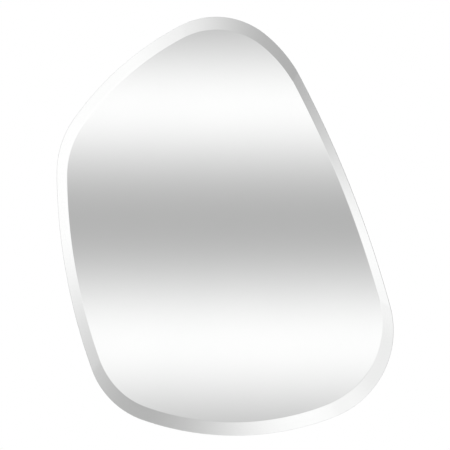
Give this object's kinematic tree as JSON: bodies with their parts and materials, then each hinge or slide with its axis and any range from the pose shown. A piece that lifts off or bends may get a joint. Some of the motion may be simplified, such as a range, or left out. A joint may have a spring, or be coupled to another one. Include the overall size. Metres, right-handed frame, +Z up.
{
  "type": "irregular shaped mirror",
  "caption": "Frameless wall mirror of uneven pebble shape with a bevelled rim, on a backing board with swinging D-ring hangers and rubber bumpers.",
  "frame": {"origin": "in the wall plane that the bumper faces touch, behind the middle of the pane's bounding box", "axes": "+Z up as the mirror hangs upright, +Y towards the wall, +X to the right of someone who faces the mirror"},
  "size_m": [0.6028, 0.0237, 0.7496],
  "materials": {
    "glass": "clear float glass, polished bevel",
    "silver": "bright silver",
    "back_paint": "matt grey protective paint",
    "board": "plain medium density fibreboard",
    "foam_tape": "white double-sided foam tape",
    "mastic": "cured mirror mastic",
    "strap_steel": "bright zinc plated strip",
    "ring_steel": "nickel plated wire",
    "screw_steel": "bright zinc plated",
    "bumper_rubber": "soft black rubber"
  },
  "bodies": {
    "mirror": {"mirror_glass": "glass", "silver_coating": "silver", "back_paint": "back_paint", "backing_board": "board", "foam_tape_left": "foam_tape", "foam_tape_middle": "foam_tape", "foam_tape_right": "foam_tape", "mastic_dabs": "mastic", "strap_screws": "screw_steel", "bumper_crown": "bumper_rubber", "bumper_shoulder": "bumper_rubber", "bumper_foot_left": "bumper_rubber", "bumper_foot_right": "bumper_rubber", "hanger_strap_top_left": "strap_steel", "hanger_strap_top_right": "strap_steel", "hanger_strap_side_upper": "strap_steel", "hanger_strap_side_lower": "strap_steel"},
    "ring_top_left": {"d_ring_top_left": "ring_steel"},
    "ring_top_right": {"d_ring_top_right": "ring_steel"},
    "ring_side_upper": {"d_ring_side_upper": "ring_steel"},
    "ring_side_lower": {"d_ring_side_lower": "ring_steel"}
  },
  "joints": [
    {"name": "ring_swing_top_left", "type": "hinge", "parent": "mirror", "child": "ring_top_left", "pos_m": [-0.12, -0.00542, 0.19], "axis": [-1, 0, 0], "range_deg": [0, 178]},
    {"name": "ring_swing_top_right", "type": "hinge", "parent": "mirror", "child": "ring_top_right", "pos_m": [0.095, -0.00542, 0.19], "axis": [-1, 0, 0], "range_deg": [0, 178]},
    {"name": "ring_swing_side_upper", "type": "hinge", "parent": "mirror", "child": "ring_side_upper", "pos_m": [-0.205, -0.00542, 0.09], "axis": [0, 0, -1], "range_deg": [0, 178]},
    {"name": "ring_swing_side_lower", "type": "hinge", "parent": "mirror", "child": "ring_side_lower", "pos_m": [-0.205, -0.00542, -0.14], "axis": [0, 0, -1], "range_deg": [0, 178]}
  ]
}
